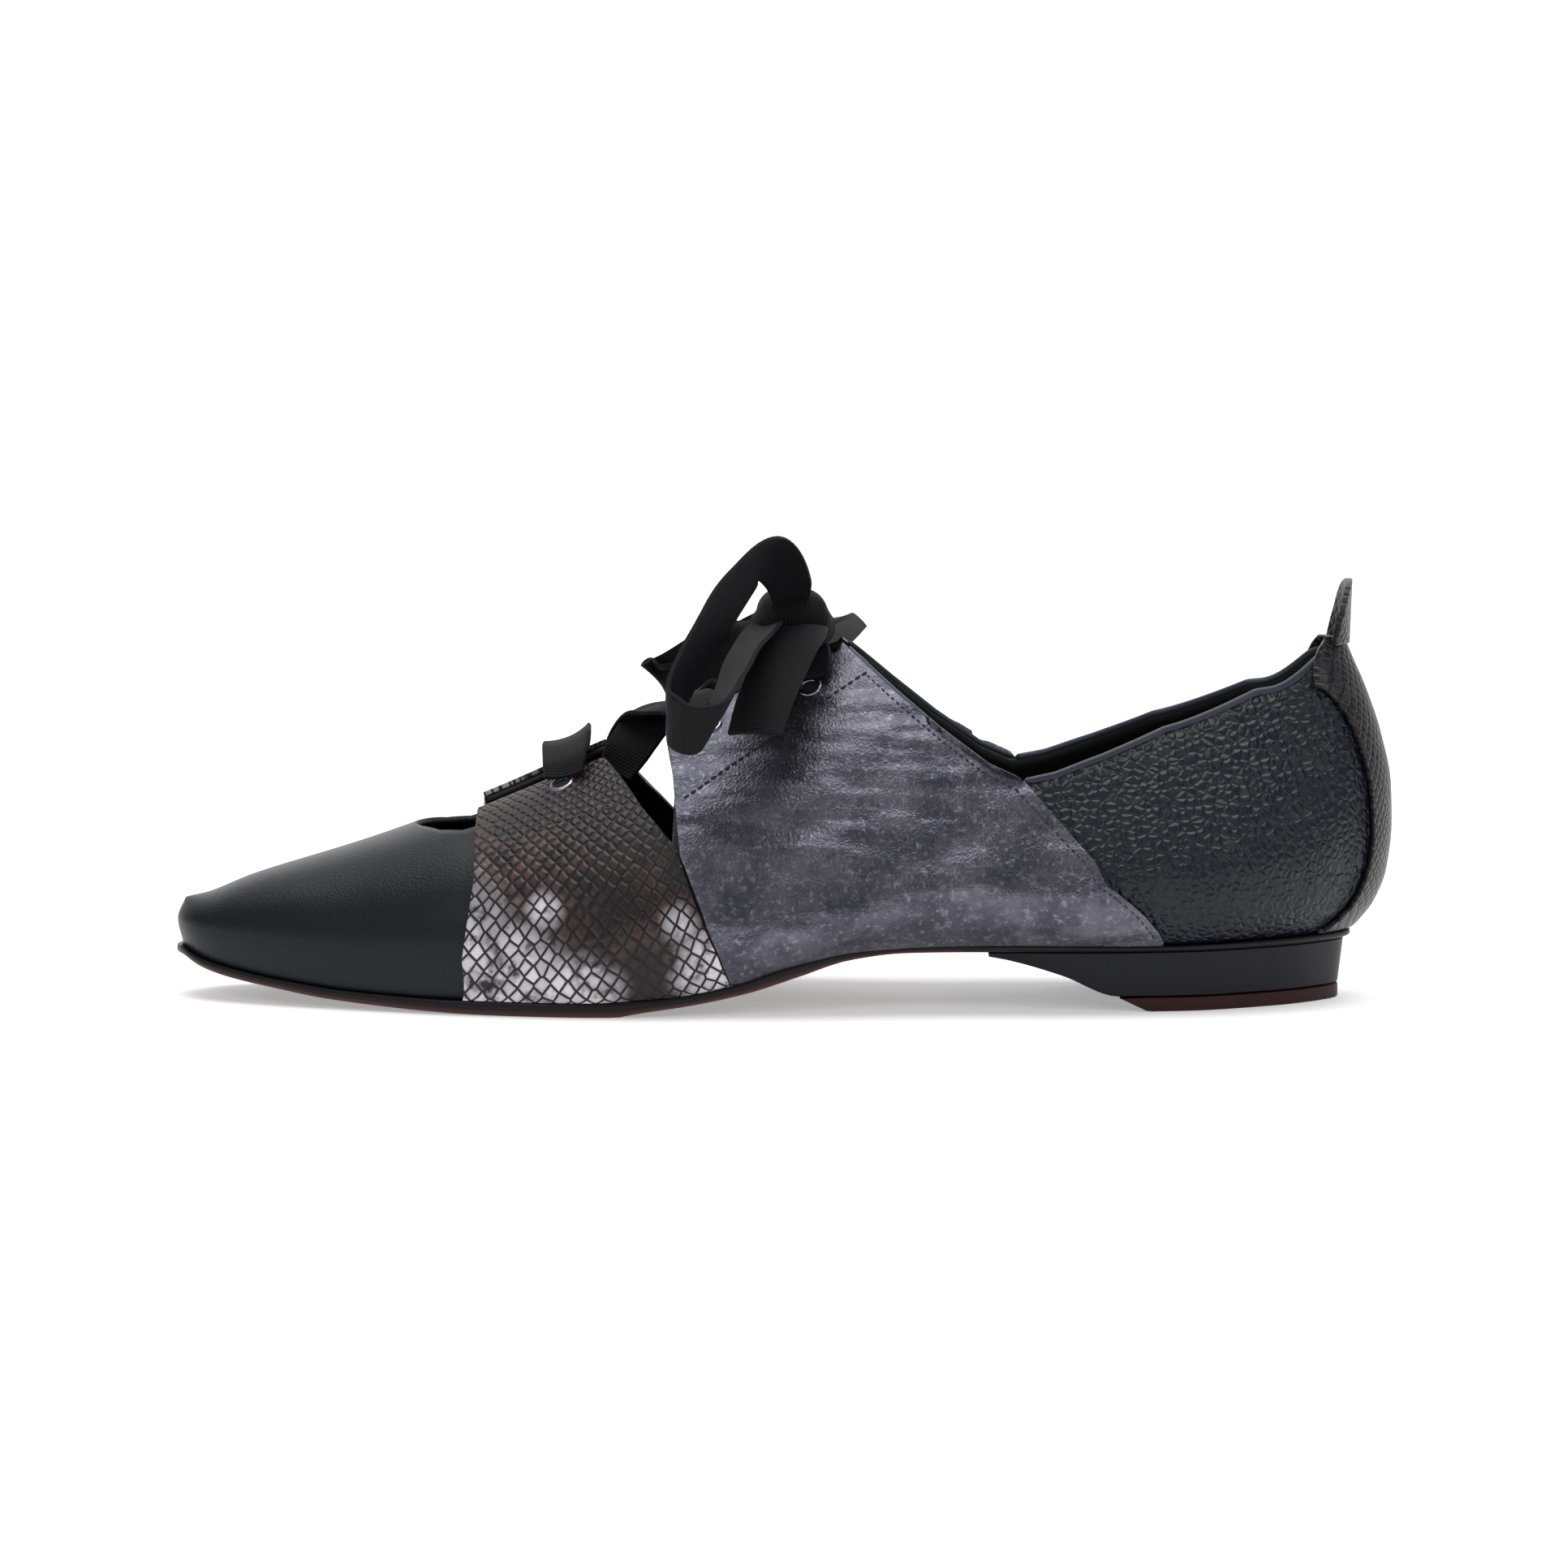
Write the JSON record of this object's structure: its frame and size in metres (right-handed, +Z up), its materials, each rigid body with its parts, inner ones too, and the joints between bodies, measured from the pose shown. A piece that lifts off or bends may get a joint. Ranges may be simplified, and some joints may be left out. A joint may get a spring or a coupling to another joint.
{
  "type": "flat shoe",
  "caption": "Flat lace-up shoe with a pointed toe, hollow leather upper, open throat, ribbon bow, low stacked heel and pull tab.",
  "frame": {"origin": "centre of the shoe's bounding box in plan, without the free ribbon, on the floor plane", "axes": "+X from toe to heel, -Y towards the outer side of the foot, +Z up"},
  "size_m": [0.2626, 0.1096, 0.1001],
  "materials": {
    "upper_leather": "smooth black leather, fine grain, satin",
    "sole": "black edge with a red-brown underside, matte",
    "insole_leather": "dark brown-grey lining leather, matte",
    "heel": "black covered heel, satin",
    "top_lift": "dark red-brown, matte",
    "snake_print": "snake scale print in silver, brown and black, semi-gloss",
    "metallic_leather": "gunmetal metallic leather, soft sheen",
    "strip_leather": "dark snake scale leather, glossy",
    "eyelet_metal": "gunmetal",
    "ribbon": "black ribbed ribbon"
  },
  "bodies": {
    "root": {"upper": "upper_leather", "outsole": "sole", "insole": "insole_leather", "heel_block": "heel", "heel_top_lift": "top_lift", "band_outer": "snake_print", "band_inner": "snake_print", "quarter_outer": "metallic_leather", "quarter_inner": "metallic_leather", "heel_strip": "strip_leather", "pull_tab": "strip_leather", "eyelet_outer_1": "eyelet_metal", "eyelet_outer_2": "eyelet_metal", "eyelet_outer_3": "eyelet_metal", "eyelet_outer_4": "eyelet_metal", "eyelet_inner_1": "eyelet_metal", "eyelet_inner_2": "eyelet_metal", "eyelet_inner_3": "eyelet_metal", "eyelet_inner_4": "eyelet_metal", "lace_bar_front": "ribbon", "lace_crossing": "ribbon", "lace_bar_back": "ribbon", "lace_bar_top": "ribbon", "bow_knot": "ribbon", "bow_loop_outer": "ribbon", "bow_loop_inner": "ribbon", "lace_end_outer": "ribbon", "lace_end_inner": "ribbon"}
  },
  "joints": []
}
